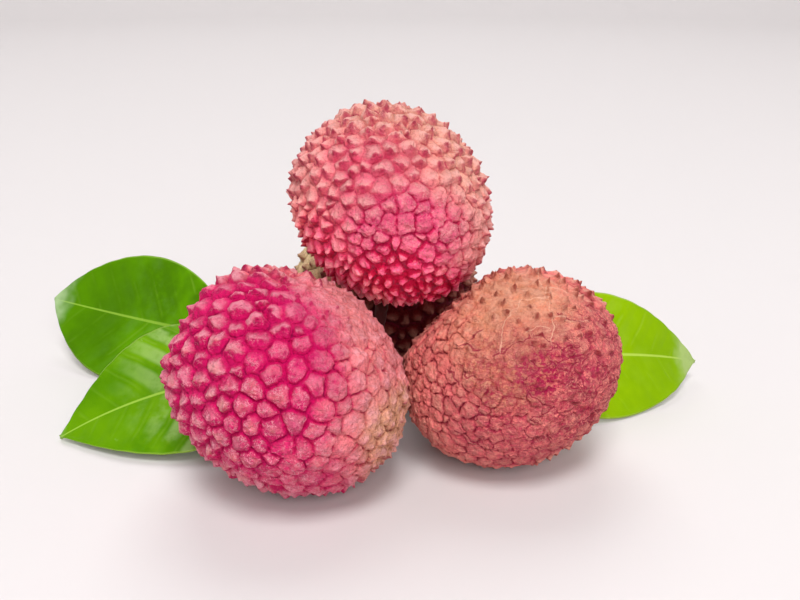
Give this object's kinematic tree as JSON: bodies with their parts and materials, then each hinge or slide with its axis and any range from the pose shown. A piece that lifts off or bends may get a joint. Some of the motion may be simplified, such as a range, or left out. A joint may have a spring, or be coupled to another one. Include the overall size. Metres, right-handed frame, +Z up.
{
  "type": "bunch of lychees",
  "caption": "Bunch of ripe lychees with rough pink rinds, piled on each other with glossy leaves behind, joined by a forked woody stalk and lying on a surface.",
  "frame": {"origin": "middle of the whole bunch's box, on the surface that it lies on", "axes": "+X from the left leaves to the right leaf, +Y from the front fruits to the back fruit, +Z up"},
  "size_m": [0.1266, 0.0786, 0.0558],
  "materials": {
    "rind_magenta": "rough dry rind with tubercles, magenta in the grooves, pale rims and tan patches",
    "rind_brown": "rough dry rind, brownish salmon, with tan and purple patches",
    "rind_salmon": "rough dry rind with pointed tubercles, salmon pink with dark tips",
    "rind_tan": "rough dry rind, yellowish tan passing to dull red",
    "leaf_green": "waxy leaf with a pale midrib and veins, paler underneath",
    "bark": "dull twig bark with a pale cut end"
  },
  "bodies": {
    "root": {"fruit_left": "rind_magenta", "fruit_right": "rind_brown", "fruit_top": "rind_salmon", "fruit_back": "rind_tan", "leaf_upper_left": "leaf_green", "leaf_lower_left": "leaf_green", "leaf_right": "leaf_green", "stalk": "bark"}
  },
  "joints": []
}
